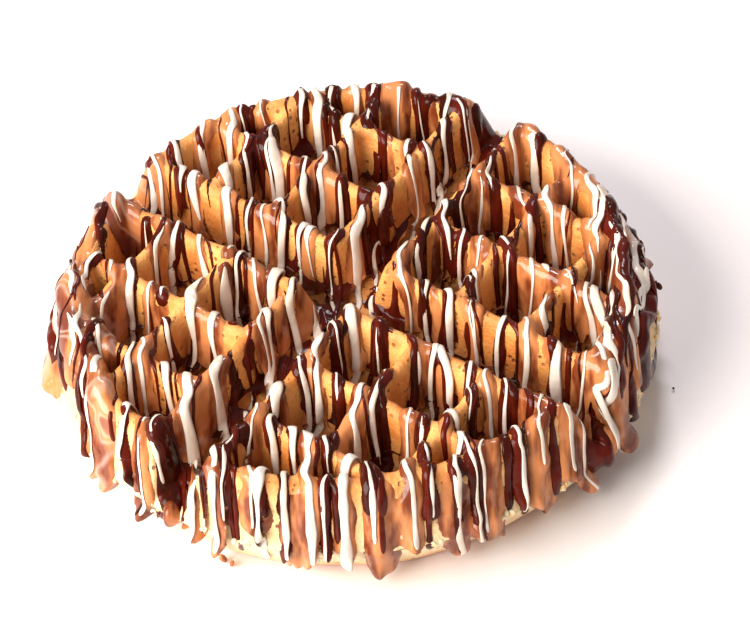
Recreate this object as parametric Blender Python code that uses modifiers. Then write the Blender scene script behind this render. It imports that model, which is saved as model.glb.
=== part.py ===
"""Round waffle from a quartered iron, with thick chocolate drizzle.

The model is in metres, +Z up, with the origin on the table under the middle
of the waffle. The iron's grid runs along X and Y, and the drizzle crosses it
at a slant, so the front of the waffle is towards -Y and a little to +X.
"""

import math
import random

import bmesh
import bpy
from mathutils import Matrix, Vector

MM = 0.001
WELD = 0.00001           # metres, for points that should be one

# Iron, sizes in millimetres
HEIGHT = 34.0            # table to the flat tops of the upper ridges
SEAM_HEIGHT = 15.5       # where the two plates met
TOP_RADIUS = 80.8        # outer edge of the rim at the top
SEAM_RADIUS = 88.0       # widest line of the side wall
BASE_RADIUS = 81.5       # outer edge of the rim at the base
RIM_ROUND = 2.4          # rounding of the rim's upper and lower edges
FLASH_HALF = 0.9         # half the thickness of the thin flash at the seam
FLASH_WIDTH = 0.9        # how far the flash stands out of the wall
PITCH = 23.0             # one pocket and one ridge
CHANNEL_PITCH = 19.8     # between the two ridges beside a dividing channel
RIDGE_TOP = 3.8          # width of a ridge across its top
RIM_WALL = 4.6           # thickness of the rim beside the outer pockets
UPPER_DEPTH = 16.0       # pockets seen from above
LOWER_DEPTH = 12.5       # pockets of the underside
WALL_SLOPE = math.tan(math.radians(11.0))
CORNER = 2.6             # rounding of a pocket's upright corners
CROSS_X = -1.3           # middle of the channels' crossing
CROSS_Y = -1.7
POCKETS_PER_QUARTER = 3  # along each side of a quarter
SMALLEST_POCKET = 5.0    # slivers beside the rim stay filled
TURN_STEPS = 64

# Unevenness of the dough: lobes round the rim as height and phase in degrees
RIM_LOBES = {2: (0.7, 95.0), 3: (0.8, 20.0), 5: (0.45, 70.0), 9: (0.3, 0.0)}
FLASH_ROUGHNESS = 0.7    # ragged edge of the flash
SAG = 0.6                # rise and fall of the ridges' tops
SAG_LENGTH_X = 47.0
SAG_LENGTH_Y = 61.0

# Drizzle
DRIZZLE_ANGLE = math.radians(34.6)   # from +Y towards -X
DRIZZLE_THICKNESS = 1.2
DRIZZLE_TOP = HEIGHT + 4.0           # clear above the drizzle
STRANDS = 13
STRAND_REACH = 76.0      # the outermost strands' distance from the middle
STRAND_JITTER = 2.0
STRAND_WIDTHS = (3.4, 5.2, 4.2)
STRAND_STEP = 22.0       # between the bends of a strand
STRAND_SWAY = 1.1
STRAND_FLOOR = 15.0      # inside the waffle's solid web
DRIP_INSET = 7.0         # how far inside the rim a drip starts
DRIP_SIDES = 6
DRIP_LOWEST = 7.0
DRIP_HIGHEST = 22.0
BEAD_RADIUS = 2.3
BEAD_STRETCH = 1.3       # height of a drip's round end over its width

# Broad sheets over the rim: degrees round from +X, width and lowest point
SHEETS = ((-38.0, 17.0, 9.0), (-22.0, 9.0, 10.0), (-152.0, 26.0, 12.0), (-72.0, 9.0, 8.0))
# Tongues out of the channels: degrees, width, lowest point
TONGUES = ((-1.2, 10.0, 9.0), (-90.9, 9.0, 11.0))

# Finish of the crust: golden brown, matt
CRUST_COLOUR = (0.68, 0.36, 0.13, 1.0)
CRUST_ROUGHNESS = 0.62
SMOOTH_ANGLE = math.radians(35.0)

FLAT_ANGLE = math.radians(0.5)   # faces that meet flatter than this are one
SCRAP_POINTS = 100               # smaller loose bodies are dropped

SEED = 11


def clear_scene():
    """Remove every object that the new scene starts with."""
    for item in list(bpy.data.objects):
        bpy.data.objects.remove(item, do_unlink=True)


def new_collection(name):
    collection = bpy.data.collections.new(name)
    bpy.context.scene.collection.children.link(collection)
    return collection


def add_tool(name, bm, tools):
    """Turn a bmesh in millimetres into an object in metres."""
    bmesh.ops.transform(bm, matrix=Matrix.Scale(MM, 4), verts=bm.verts)
    bmesh.ops.recalc_face_normals(bm, faces=bm.faces)
    mesh = bpy.data.meshes.new(name)
    bm.to_mesh(mesh)
    bm.free()
    item = bpy.data.objects.new(name, mesh)
    item.hide_render = True
    item.display_type = "WIRE"
    tools.objects.link(item)
    return item


def apply_modifiers(item):
    """Replace the object's mesh by the one that its modifiers make."""
    graph = bpy.context.evaluated_depsgraph_get()
    mesh = bpy.data.meshes.new_from_object(item.evaluated_get(graph))
    item.modifiers.clear()
    item.data = mesh


def combine(item, operation, other):
    """Cut or intersect the object with another, which is then removed."""
    step = item.modifiers.new("Combine", "BOOLEAN")
    step.operation = operation
    step.solver = "MANIFOLD"
    step.object = other
    apply_modifiers(item)
    bpy.data.objects.remove(other)


def join_all(target, pieces, tools):
    """One Boolean union of the target with a collection of pieces."""
    joined = bpy.data.collections.new("joined")
    tools.children.link(joined)
    for piece in pieces:
        joined.objects.link(piece)
    step = target.modifiers.new("Union", "BOOLEAN")
    step.operation = "UNION"
    step.solver = "MANIFOLD"
    step.operand_type = "COLLECTION"
    step.collection = joined
    apply_modifiers(target)
    for piece in pieces:
        bpy.data.objects.remove(piece)
    bpy.data.collections.remove(joined)


def rim_swell(angle):
    """How far the dough stands out of the iron's circle, in millimetres."""
    swell = 0.0
    for lobes, (height, phase) in RIM_LOBES.items():
        swell += height * math.cos(lobes * angle - math.radians(phase))
    return swell


def swell_rim(item, flash_notches=None):
    """Make the outline of a turned shape as uneven as the dough."""
    for vert in item.data.vertices:
        radius = math.hypot(vert.co.x, vert.co.y) / MM
        if radius < BASE_RADIUS / 2:
            continue
        angle = math.atan2(vert.co.y, vert.co.x)
        grown = radius + rim_swell(angle)
        if flash_notches and radius > SEAM_RADIUS + FLASH_WIDTH / 2:
            grown += flash_notches[round(angle / math.tau * TURN_STEPS) % TURN_STEPS]
        vert.co.x *= grown / radius
        vert.co.y *= grown / radius


def turned_body(name, grow, tools):
    """The disc without its pockets, larger by grow millimetres all round."""
    flash = SEAM_RADIUS + FLASH_WIDTH
    profile = [
        (0.0, HEIGHT + grow),
        (TOP_RADIUS - RIM_ROUND + grow, HEIGHT + grow),
        (TOP_RADIUS - 0.3 * RIM_ROUND + grow, HEIGHT - 0.3 * RIM_ROUND + grow),
        (TOP_RADIUS + 0.2 * RIM_ROUND + grow, HEIGHT - RIM_ROUND),
        (SEAM_RADIUS + grow, SEAM_HEIGHT + 2 * FLASH_HALF),
        (flash + grow, SEAM_HEIGHT + FLASH_HALF),
        (flash + grow, SEAM_HEIGHT - FLASH_HALF),
        (SEAM_RADIUS + grow, SEAM_HEIGHT - 2 * FLASH_HALF),
        (BASE_RADIUS + grow, RIM_ROUND),
        (BASE_RADIUS - 0.6 * RIM_ROUND + grow, 0.0),
        (0.0, 0.0),
    ]
    bm = bmesh.new()
    verts = [bm.verts.new((radius, 0.0, height)) for radius, height in profile]
    for start, end in zip(verts, verts[1:]):
        bm.edges.new((start, end))
    body = add_tool(name, bm, tools)
    screw = body.modifiers.new("Turn", "SCREW")
    screw.steps = TURN_STEPS
    screw.render_steps = TURN_STEPS
    screw.use_merge_vertices = True
    screw.merge_threshold = WELD
    apply_modifiers(body)
    draw = random.Random(SEED)
    notches = [draw.uniform(-1.0, 1.0) * FLASH_ROUGHNESS for _ in range(TURN_STEPS)]
    swell_rim(body, notches)
    return body


def tapered_box(bm, low, high, bottom, top, flare):
    """A box whose upper face is wider by flare on every side."""
    made = bmesh.ops.create_cube(bm, size=2.0)
    for vert in made["verts"]:
        spread = flare if vert.co.z > 0 else 0.0
        x = high[0] + spread if vert.co.x > 0 else low[0] - spread
        y = high[1] + spread if vert.co.y > 0 else low[1] - spread
        vert.co = Vector((x, y, top if vert.co.z > 0 else bottom))


def pocket_cells():
    """Low and high corners of the pockets, at the ridges' centre lines."""
    cells = []
    steps = range(POCKETS_PER_QUARTER)
    for side_x in (-1, 1):
        for side_y in (-1, 1):
            for column in steps:
                for row in steps:
                    near_x = CHANNEL_PITCH / 2 + column * PITCH
                    near_y = CHANNEL_PITCH / 2 + row * PITCH
                    corner = math.hypot(near_x + RIDGE_TOP / 2, near_y + RIDGE_TOP / 2)
                    if corner > TOP_RADIUS - RIM_WALL - SMALLEST_POCKET:
                        continue
                    xs = sorted(CROSS_X + side_x * x for x in (near_x, near_x + PITCH))
                    ys = sorted(CROSS_Y + side_y * y for y in (near_y, near_y + PITCH))
                    cells.append(((xs[0], ys[0]), (xs[1], ys[1])))
    return cells


def cut_pockets(body, place, bottom, margin, rounded, tools):
    """Cut every pocket to the depth bottom.

    margin is the distance from a ridge's centre line to the wall at the
    ridges' tops, which are at height 0 of the tool. Where a pocket meets the
    rim, the rim's own round wall ends it.
    """
    top = 2 * DRIZZLE_THICKNESS
    floor_margin = margin - bottom * WALL_SLOPE
    bm = bmesh.new()
    for low, high in pocket_cells():
        floor_low = (low[0] + floor_margin, low[1] + floor_margin)
        floor_high = (high[0] - floor_margin, high[1] - floor_margin)
        flare = (top - bottom) * WALL_SLOPE
        tapered_box(bm, floor_low, floor_high, bottom, top, flare)
    if rounded:
        upright = [edge for edge in bm.edges if edge.verts[0].co.z != edge.verts[1].co.z]
        bmesh.ops.bevel(bm, geom=upright, offset=CORNER, segments=1, affect="EDGES")
    wells = add_tool("wells", bm, tools)
    radius = TOP_RADIUS - RIM_WALL + RIDGE_TOP / 2 - margin
    above = 1.0
    bm = bmesh.new()
    bmesh.ops.create_cone(
        bm,
        cap_ends=True,
        segments=TURN_STEPS,
        radius1=radius + (bottom - above) * WALL_SLOPE,
        radius2=radius + (top + above) * WALL_SLOPE,
        depth=top - bottom + 2 * above,
        matrix=Matrix.Translation((0, 0, (top + bottom) / 2)),
    )
    plug = add_tool("plug", bm, tools)
    swell_rim(plug)
    combine(wells, "INTERSECT", plug)
    wells.data.transform(place)
    if place.determinant() < 0:
        wells.data.flip_normals()
    combine(body, "DIFFERENCE", wells)


def cut_channels(body, place, bottom, margin, tools):
    """Cut the two crossing channels, open at the rim."""
    top = 2 * DRIZZLE_THICKNESS
    length = SEAM_RADIUS + 10.0
    half = CHANNEL_PITCH / 2 - margin + bottom * WALL_SLOPE
    for along_x in (True, False):
        low = (-length, CROSS_Y - half) if along_x else (CROSS_X - half, -length)
        high = (length, CROSS_Y + half) if along_x else (CROSS_X + half, length)
        bm = bmesh.new()
        tapered_box(bm, low, high, bottom, top, (top - bottom) * WALL_SLOPE)
        channel = add_tool("channel", bm, tools)
        channel.data.transform(place)
        if place.determinant() < 0:
            channel.data.flip_normals()
        combine(body, "DIFFERENCE", channel)


def press_upper_side(body, grow, tools):
    """The deep side that is seen from above, its walls set in by grow."""
    place = Matrix.Translation((0, 0, HEIGHT * MM))
    margin = RIDGE_TOP / 2 + grow
    cut_pockets(body, place, grow - UPPER_DEPTH, margin, True, tools)
    cut_channels(body, place, grow - UPPER_DEPTH, margin, tools)


def press_lower_side(body, tools):
    """The underside, with flat ridges that the waffle rests on."""
    place = Matrix.Diagonal((1, 1, -1, 1))
    margin = RIDGE_TOP / 2
    cut_pockets(body, place, -LOWER_DEPTH, margin, False, tools)
    cut_channels(body, place, -LOWER_DEPTH, margin, tools)


def strand_point(across, along):
    """From the drizzle's own directions to X and Y."""
    cos, sin = math.cos(DRIZZLE_ANGLE), math.sin(DRIZZLE_ANGLE)
    return across * cos - along * sin, across * sin + along * cos


def strip(points, width, tools):
    """An upright strip of one width that follows the points in plan."""
    curve = bpy.data.curves.new("strip", "CURVE")
    curve.dimensions = "3D"
    curve.extrude = (DRIZZLE_TOP - STRAND_FLOOR) / 2 * MM
    spline = curve.splines.new("POLY")
    spline.points.add(len(points) - 1)
    middle = (DRIZZLE_TOP + STRAND_FLOOR) / 2
    for point, (x, y) in zip(spline.points, points):
        point.co = (x * MM, y * MM, middle * MM, 1.0)
    line = bpy.data.objects.new("strip_line", curve)
    tools.objects.link(line)
    graph = bpy.context.evaluated_depsgraph_get()
    sheet = bpy.data.meshes.new_from_object(line.evaluated_get(graph))
    bpy.data.objects.remove(line)
    bm = bmesh.new()
    bm.from_mesh(sheet)
    bmesh.ops.remove_doubles(bm, verts=bm.verts, dist=WELD)
    bmesh.ops.transform(bm, matrix=Matrix.Scale(1 / MM, 4), verts=bm.verts)
    solid = add_tool("strip", bm, tools)
    thicken = solid.modifiers.new("Width", "SOLIDIFY")
    thicken.thickness = width * MM
    thicken.offset = 0.0
    apply_modifiers(solid)
    return solid


def wall_radius(angle, height):
    """Radius of the side wall at a height."""
    if height > SEAM_HEIGHT:
        share = (height - SEAM_HEIGHT) / (HEIGHT - SEAM_HEIGHT)
        bare = SEAM_RADIUS + (TOP_RADIUS - SEAM_RADIUS) * share
    else:
        share = (SEAM_HEIGHT - height) / SEAM_HEIGHT
        bare = SEAM_RADIUS + (BASE_RADIUS - SEAM_RADIUS) * share
    return bare + rim_swell(angle)


def drip(angle, width, lowest, tools):
    """The upright stretch of a strand that ran down the side wall."""
    height = DRIZZLE_TOP - lowest
    reach = DRIP_INSET + SEAM_RADIUS - TOP_RADIUS
    middle = (TOP_RADIUS + SEAM_RADIUS) / 2 + rim_swell(angle)
    bm = bmesh.new()
    bmesh.ops.create_cone(
        bm,
        cap_ends=True,
        segments=DRIP_SIDES,
        radius1=1.0,
        radius2=1.0,
        depth=height,
        matrix=Matrix.Translation((0, 0, lowest + height / 2)),
    )
    stretch = Matrix.Diagonal((reach, width / 2, 1, 1))
    place = Matrix.Rotation(angle, 4, "Z") @ Matrix.Translation((middle, 0, 0))
    bmesh.ops.transform(bm, matrix=place @ stretch, verts=bm.verts)
    return add_tool("drip", bm, tools)


def bead(angle, height, radius, tools):
    """The round end of a drip."""
    bm = bmesh.new()
    bmesh.ops.create_icosphere(bm, subdivisions=1, radius=radius)
    place = Matrix.Rotation(angle, 4, "Z")
    place = place @ Matrix.Translation((wall_radius(angle, height), 0, height))
    stretch = Matrix.Diagonal((1, 1, BEAD_STRETCH, 1))
    bmesh.ops.transform(bm, matrix=place @ stretch, verts=bm.verts)
    return add_tool("bead", bm, tools)


def drizzle_shapes(tools):
    """Upright strips in plan for the drizzle, and the drips' round ends."""
    draw = random.Random(SEED)
    strips = []
    beads = []
    for index in range(STRANDS):
        share = 2 * index / (STRANDS - 1) - 1
        across = STRAND_REACH * share + draw.uniform(-STRAND_JITTER, STRAND_JITTER)
        width = STRAND_WIDTHS[index % len(STRAND_WIDTHS)]
        half_length = math.sqrt(TOP_RADIUS ** 2 - across ** 2) - DRIP_INSET / 2
        bends = max(2, round(2 * half_length / STRAND_STEP))
        points = []
        for bend in range(bends + 1):
            along = half_length * (2 * bend / bends - 1)
            sway = draw.uniform(-STRAND_SWAY, STRAND_SWAY)
            points.append(strand_point(across + sway, along))
        strips.append(strip(points, width, tools))
        front, back = points[0], points[-1]
        ends = ((front, DRIP_LOWEST, DRIP_HIGHEST), (back, SEAM_HEIGHT, DRIP_HIGHEST))
        for (x, y), low, high in ends:
            lowest = draw.uniform(low, high)
            angle = math.atan2(y, x)
            strips.append(drip(angle, width, lowest, tools))
            beads.append(bead(angle, lowest, BEAD_RADIUS, tools))
    for degrees, width, lowest in SHEETS:
        strips.append(drip(math.radians(degrees), width, lowest, tools))
    for degrees, width, lowest in TONGUES:
        angle = math.radians(degrees)
        strips.append(drip(angle, width, lowest, tools))
        beads.append(bead(angle, lowest + width / 2, width / 2, tools))
    return strips, beads


def add_drizzle(body, tools):
    """Fuse a coat of chocolate to the waffle wherever a strip passes."""
    coat = turned_body("coat", DRIZZLE_THICKNESS, tools)
    press_upper_side(coat, DRIZZLE_THICKNESS, tools)
    strips, beads = drizzle_shapes(tools)
    drizzle = strips[0]
    join_all(drizzle, strips[1:], tools)
    combine(drizzle, "INTERSECT", coat)
    join_all(body, [drizzle] + beads, tools)


def clean(item):
    """Drop loose scraps and merge the flat faces that the cuts left."""
    bm = bmesh.new()
    bm.from_mesh(item.data)
    waiting = set(bm.verts)
    while waiting:
        island = {waiting.pop()}
        edge_of_island = list(island)
        while edge_of_island:
            vert = edge_of_island.pop()
            for edge in vert.link_edges:
                other = edge.other_vert(vert)
                if other in waiting:
                    waiting.remove(other)
                    island.add(other)
                    edge_of_island.append(other)
        if len(island) < SCRAP_POINTS:
            bmesh.ops.delete(bm, geom=list(island), context="VERTS")
    bmesh.ops.dissolve_limit(bm, angle_limit=FLAT_ANGLE, verts=bm.verts[:], edges=bm.edges[:])
    bm.to_mesh(item.data)
    bm.free()


def settle(item):
    """Let the upper half rise and fall a little, as baked dough does."""
    for vert in item.data.vertices:
        above = vert.co.z / MM - SEAM_HEIGHT
        if above > 0:
            wave = math.sin(vert.co.x / MM / SAG_LENGTH_X * math.tau)
            wave *= math.cos(vert.co.y / MM / SAG_LENGTH_Y * math.tau)
            vert.co.z += SAG * MM * wave * above / (HEIGHT - SEAM_HEIGHT)


def centre_on_table(item):
    """Put the origin under the middle of the box round the object."""
    for axis in (0, 1):
        values = [vert.co[axis] for vert in item.data.vertices]
        middle = (min(values) + max(values)) / 2
        for vert in item.data.vertices:
            vert.co[axis] -= middle


def crust_material():
    material = bpy.data.materials.new("baked_crust")
    material.use_nodes = True
    shader = material.node_tree.nodes["Principled BSDF"]
    shader.inputs["Base Color"].default_value = CRUST_COLOUR
    shader.inputs["Roughness"].default_value = CRUST_ROUGHNESS
    shader.inputs["Metallic"].default_value = 0.0
    return material


def make_waffle(parts, tools):
    """Disc, pockets, channels and drizzle as one solid."""
    body = turned_body("waffle", 0.0, tools)
    press_upper_side(body, 0.0, tools)
    add_drizzle(body, tools)
    press_lower_side(body, tools)
    clean(body)
    settle(body)
    centre_on_table(body)
    body.data.materials.clear()
    body.data.materials.append(crust_material())
    body.data.shade_smooth()
    body.data.set_sharp_from_angle(angle=SMOOTH_ANGLE)
    tools.objects.unlink(body)
    parts.objects.link(body)
    body.hide_render = False
    body.display_type = "TEXTURED"


def main():
    clear_scene()
    parts = new_collection("waffle")
    tools = new_collection("cutting_tools")
    make_waffle(parts, tools)
    bpy.data.collections.remove(tools)


main()
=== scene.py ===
"""Round waffle with dark, milk and white chocolate drizzled over it.

Every size is in metres, +Z up. The iron's grid runs along X and Y. The
drizzle crosses it at a slant, and the camera looks along the drizzle.
"""

import math
import random
from functools import partial

import bpy
from mathutils import Matrix, Vector


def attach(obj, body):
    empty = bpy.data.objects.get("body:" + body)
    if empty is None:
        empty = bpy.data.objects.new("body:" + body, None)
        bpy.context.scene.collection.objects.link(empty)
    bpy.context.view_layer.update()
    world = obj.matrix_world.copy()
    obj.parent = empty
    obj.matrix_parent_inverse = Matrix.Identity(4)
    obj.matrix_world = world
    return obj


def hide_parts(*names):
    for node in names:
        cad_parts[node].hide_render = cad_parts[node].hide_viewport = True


bl_info = {
    "name": "Drizzled waffle",
    "version": (1, 0, 0),
    "blender": (4, 5, 0),
    "location": "View3D > Sidebar > Waffle",
    "description": "Builds a quartered waffle with three kinds of chocolate",
    "category": "Object",
}

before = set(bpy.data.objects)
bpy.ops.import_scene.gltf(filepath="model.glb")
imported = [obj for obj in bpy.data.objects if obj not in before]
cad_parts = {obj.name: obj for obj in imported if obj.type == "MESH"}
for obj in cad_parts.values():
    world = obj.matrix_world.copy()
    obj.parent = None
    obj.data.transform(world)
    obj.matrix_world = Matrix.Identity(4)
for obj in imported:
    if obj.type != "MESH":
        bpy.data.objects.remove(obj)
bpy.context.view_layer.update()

MM = 0.001
NODE = "waffle"
BODY = "root"

# The iron's circle and the crossing of its channels, in the model's frame
CENTRE = Vector((-2.55, 1.05, 0.0)) * MM
CROSS = Vector((-3.85, -0.65, 0.0)) * MM

# Lobes of the dough round the rim: count, height in metres, phase in degrees
RIM_LOBES = ((2, 0.7 * MM, 95.0), (3, 0.8 * MM, 20.0), (5, 0.45 * MM, 70.0), (9, 0.3 * MM, 0.0))

# Broad patches of milk chocolate: X, Y, radius across, radius along the
# drizzle, and how much thicker the coat is there, all in millimetres
MILK_PATCHES = (
    (69.6, -51.0, 5.5, 9.0, 2.3),
    (76.0, -41.0, 3.5, 9.0, 2.1),
    (84.0, -26.0, 4.5, 9.0, 2.3),
    (54.0, -65.0, 5.0, 9.0, 2.0),
    (33.0, -78.0, 3.5, 7.0, 1.8),
    (-50.0, -60.0, 6.0, 10.0, 2.2),
    (-60.0, -56.0, 8.0, 14.0, 2.3),
    (-38.0, -72.0, 4.0, 8.0, 1.8),
    (-70.0, -46.0, 6.0, 12.0, 2.2),
    (-84.0, -12.0, 5.0, 9.0, 1.9),
    (-12.0, -69.0, 5.0, 5.0, 1.7),
    (-2.2, -87.0, 2.4, 4.5, 3.4),
    (-21.0, 39.0, 5.0, 6.0, 1.7),
    (66.0, 42.0, 1.6, 22.0, 1.6),
    (-34.0, 78.0, 6.0, 6.0, 1.8),
)

# The same for dark chocolate
DARK_PATCHES = (
    (86.0, -6.0, 4.2, 10.0, 3.6),
    (-8.5, -80.0, 3.8, 11.0, 3.0),
    (4.8, -74.4, 3.0, 4.0, 2.8),
    (-9.0, 84.0, 5.0, 7.0, 2.2),
    (-23.6, 75.7, 4.0, 3.0, 1.8),
    (52.0, 60.0, 2.2, 14.0, 2.0),
    (73.0, 39.4, 3.4, 30.0, 2.9),
    (87.0, 12.0, 1.8, 12.0, 2.4),
    (71.5, -10.7, 4.0, 5.0, 1.8),
    (-57.0, 33.0, 5.0, 8.0, 1.9),
    (-64.0, -57.0, 2.6, 9.0, 2.6),
    (-76.0, -44.0, 2.2, 10.0, 2.6),
    (-56.0, -66.0, 2.0, 7.0, 2.6),
)
PATCH_FADE = 1.6         # a patch ends at this many times its radius

# Across positions of strands that fell beside the rim, in millimetres
WHITE_BESIDE = (79.9, 82.3, 85.0, 86.6, -80.6, -84.2, 75.4)
DARK_BESIDE = (78.7, 81.1, 83.7, 85.9, -79.0, -82.4, -85.8, 73.6, 77.2)

# Torn places of the seam, where crumbs stand out together: angle round the
# rim in degrees, how far they spread along it in degrees, their count and the
# size of the largest in millimetres
TORN_PLACES = (
    (-12.0, 3.0, 7, 3.0),
    (-18.5, 1.5, 4, 2.2),
    (-26.0, 2.5, 6, 2.8),
    (-40.0, 1.5, 4, 2.2),
    (3.3, 1.5, 5, 2.6),
    (29.0, 4.5, 10, 2.9),
    (39.6, 1.2, 3, 2.4),
    (-78.0, 5.0, 6, 2.2),
    (-150.0, 4.0, 6, 2.4),
    (95.0, 3.0, 5, 2.4),
)
CRUMB_COUNT = 110         # small ones all round the seam
CRUMB_SIZES = (0.7, 1.6)  # millimetres
CRUMB_OUT = (0.0, 0.35)   # how far out one stands, as shares of its size
CRUMB_UP = (-0.5, 0.3)    # and how far up
CRUMB_FORM = (1.0, 0.8, 0.6)
CRUMB_GRAIN = 1.3 * MM    # size of the lumps on a crumb

# Drops of chocolate: X, Y, height and radius in millimetres, and its kind
DROPS = (
    (68.3, 58.0, 16.8, 1.5, 1.0),
    (66.6, 58.8, 16.4, 1.0, 1.0),
    (11.0, -83.6, 1.8, 1.6, 0.0),
    (14.0, -83.4, 1.3, 1.1, 0.0),
    (85.5, 38.0, 0.6, 0.45, 1.0),
)

# Drizzle: its direction from +Y towards -X, and how its guides are cast
DRIZZLE_ANGLE = math.radians(34.6)
RAY = 59.5 * MM          # a guide finds the waffle within this
RAY_SPARE = 4 * MM       # how far inside the wall it still counts
RAY_TOP = 60 * MM        # height of the guides above the table
RIM_START = 1.5 * MM     # a strand turns down this far inside the rim
RIM_SPARE = 6 * MM       # strands nearer the rim than this stay on its side
RIM_DROP = 0.5 * MM      # the side wall starts this far below the ridge tops
TOP_STEP = 0.25 * MM
SIDE_STEP = 0.6 * MM
LINE_STEP = 0.95 * MM
TAIL_LENGTH = 7 * MM     # a strand thins out over this where it stops on top
TAIL_END = 0.2           # and ends with this share of its width
DRIP_LENGTH = 2.5 * MM   # its drip on the side wall swells over this
DRIP_SWELL = 0.2         # by this share
MILK, DARK = 0.0, 1.0    # which chocolate a white strand was poured with
DARK_SHARE = 0.45        # how many of them with dark
LINE_END = 1.6           # a line rounds off over this share of its width
LINE_TIP = 0.05          # to this share of its width
ROW_JITTER = 0.38        # how far a strand is off its row, as a share of it
THIN_ONES = 1.6          # the higher, the more of the strands are thin
SHORT_DRIPS = 1.8        # the higher, the more of the drips hang low

# How a strand sways and swells: wavelengths in metres, and heights in
# millimetres, or as shares of its width
SWAY_WAVES = ((0.009, 0.35), (0.023, 0.95), (0.071, 1.7))
GIRTH_WAVES = ((0.006, 0.13), (0.016, 0.25), (0.043, 0.3))

# Strands of a chocolate: least and most width as shares of the usual one,
# longest and shortest run and the gaps between them in shares of half a
# strand, and the lowest and highest end of a drip
WHITE_STRANDS = (0.4, 1.15, 1.9, 0.5, 0.2, 4 * MM, 27 * MM)
DARK_STRANDS = (0.4, 1.2, 1.6, 0.4, 0.3, 5 * MM, 28 * MM)
WHITE_SECTION = (0.24 * MM, 0.27)  # how high a line's middle lies, and its
DARK_SECTION = (0.15 * MM, 0.38)   # height as a share of its width

# Parts of the crust that a coat can reach
FLOOR_LEVEL = 16.5 * MM  # just under the upper pockets' floors
GROUND_CELL = 0.56 * MM  # mesh under the coats, finer than the crust's
RIM_INSIDE = 79.0 * MM   # pockets end within this distance from the middle
RIM_PACKING = 2.4        # how much closer the mesh's rows lie beyond that
LIP_WIDTH = 1.6 * MM     # how far in from its edge the flash is rounded
RAG_SIZE = 6 * MM        # size of the rags of the flash
RAGS = (3.0, -0.7)       # their height and middle, in widths of the flash
SAG_CURVE = 1.5          # how late a ridge dips between two crossings
SAG_FADE = 6 * MM        # and over which way it stops dipping at the rim
WELD = 0.004 * MM        # the two sides are joined where they are this close
STEADY_HEIGHT = 5 * MM   # the dough is even on the table, uneven above this
DOUGH_WAVES = ((14 * MM, 1.0), (4.8 * MM, 0.65), (1.8 * MM, 0.2))

# Coats, in millimetres: how far one reaches beside a strand, the width and
# length of its bands, its thickness, where its drips end, their bead, and how
# full its pools are
COAT_FIELDS = ("Halo", "Band", "Run", "Thickness", "Lowest", "Highest", "Bead", "Fill")
MILK_COAT = (2.7, 6.6, 70, 1.1, 5, 15, 2.6, -1.0)
DARK_COAT = (1.9, 4.4, 70, 1.35, 8, 24, 2.0, 0.6)
MILK_SEED, DARK_SEED = 3.0, 17.0

# Chocolates: their tone where thick, where deep and in streaks, their gloss,
# and for the milk chocolate a dark and a pale tone that marble it
CHOCOLATES = {
    "milk": ("#CC804C", "#743318", "#E0AE84", 0.45, ("#6A3428", "#D3AD9C")),
    "dark": ("#56160A", "#330C04", "#7A3217", 0.18),
    "white": ("#ECE0D3", "#DCC9B6", "#F4ECE3", 0.4),
}

# Coats: their bands across the drizzle, their drips and their pools
SWAY = 5.5 * MM          # how far a band sways
SWAY_SIZE = 22 * MM      # and over which length
HALO_SIZE = 11 * MM      # length over which the band beside a strand varies
HALO_RANGE = (0.45, 1.7)  # from and to these shares of its width
HALO_JOIN = 0.3          # how softly it joins the bands
COAT_CREST = 0.9         # how softly a coat reaches its full thickness
COAT_LEAST = -0.7        # no share falls below this where the crust is bare
HALO_EDGE = 1 * MM       # how soft the edge of that band is
BAND_SLOPE = 8.0         # how steep the edge of a band is
FILM = 0.35 * MM         # least thickness inside the edge
FILM_EDGE = 0.12
DRIPS_PER_BAND = 1.1
DRIP_SPREAD = 0.8        # how uneven the drips' distances are
DRIP_ROUND = 16 * MM     # how round a drip's end is
SHEET_FALL = 5.0         # how much lower a patch hangs, times its thickness
DRIP_CUT = 2.2           # how sharply a drip ends
BEAD_REACH = 4 * MM      # how high up its bead goes
BEAD_SWELL = 1.05
POOL_SIZE = 30 * MM      # length over which the pools' levels vary
POOL_SPREAD = 22 * MM    # and how much
POOL_MOST = (3 * MM, 2 * MM)  # deepest pool, and how softly it is limited
OFF_RIM = -50 * MM       # keeps pools away from the rim
DRY = -0.5 * MM          # the coat is cut away where it would be thinner
ROOT = -0.6 * MM         # and its edge dips this far into the crust
HANGING = (-0.2 * MM, 0.6 * MM)  # coats from thin to thick enough to hang

# Patterns of the materials
NOISE_SPAN = (0.3, 0.7)  # nearly all of a noise lies between these
CRUST_CLOUDS = ((11 * MM, 4.0), (8 * MM, 1.0), (1.2 * MM, 4.0))  # size and detail
SIDE_SPAN = (79.5 * MM, 84.5 * MM)  # from the middle: where the rim turns down and the crust is painted paler, partly as painted light
PINHOLE_CELL = 2.8 * MM
PINHOLE_SHADE = 0.85      # how dark the painted shade in a pinhole gets
PINHOLE_DEPTH = -1.6     # against the grain of the skin
BELT_TOP = (22 * MM, 12 * MM)  # height over which the pale belt comes in, paler dough and painted light
BELT_FOOT = (1 * MM, 9 * MM)   # and where it fades towards the table
CRUMB_CLOUD = 1.6 * MM
LIGHT_DEPTH = 2 * MM     # how deep light goes into the dough
STREAK_SIZES = (4.6 * MM, 30 * MM, 16 * MM)  # across, along and up
MARBLE_SPAN = (-60 * MM, -72 * MM)  # across: it comes in towards the left rim
MARBLE_SIZE = 22 * MM
MARBLE_LINES = (0.45, 0.53)  # levels of the swirl that the pale lines follow
RIPPLE_SIZE = 4.5 * MM
RIPPLE_HEIGHT = 1.3 * MM
MELTED_IOR = 1.46        # cocoa butter
CLOUD_SIZE = 0.3         # metres, of the clouds in the table top's tone

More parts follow.
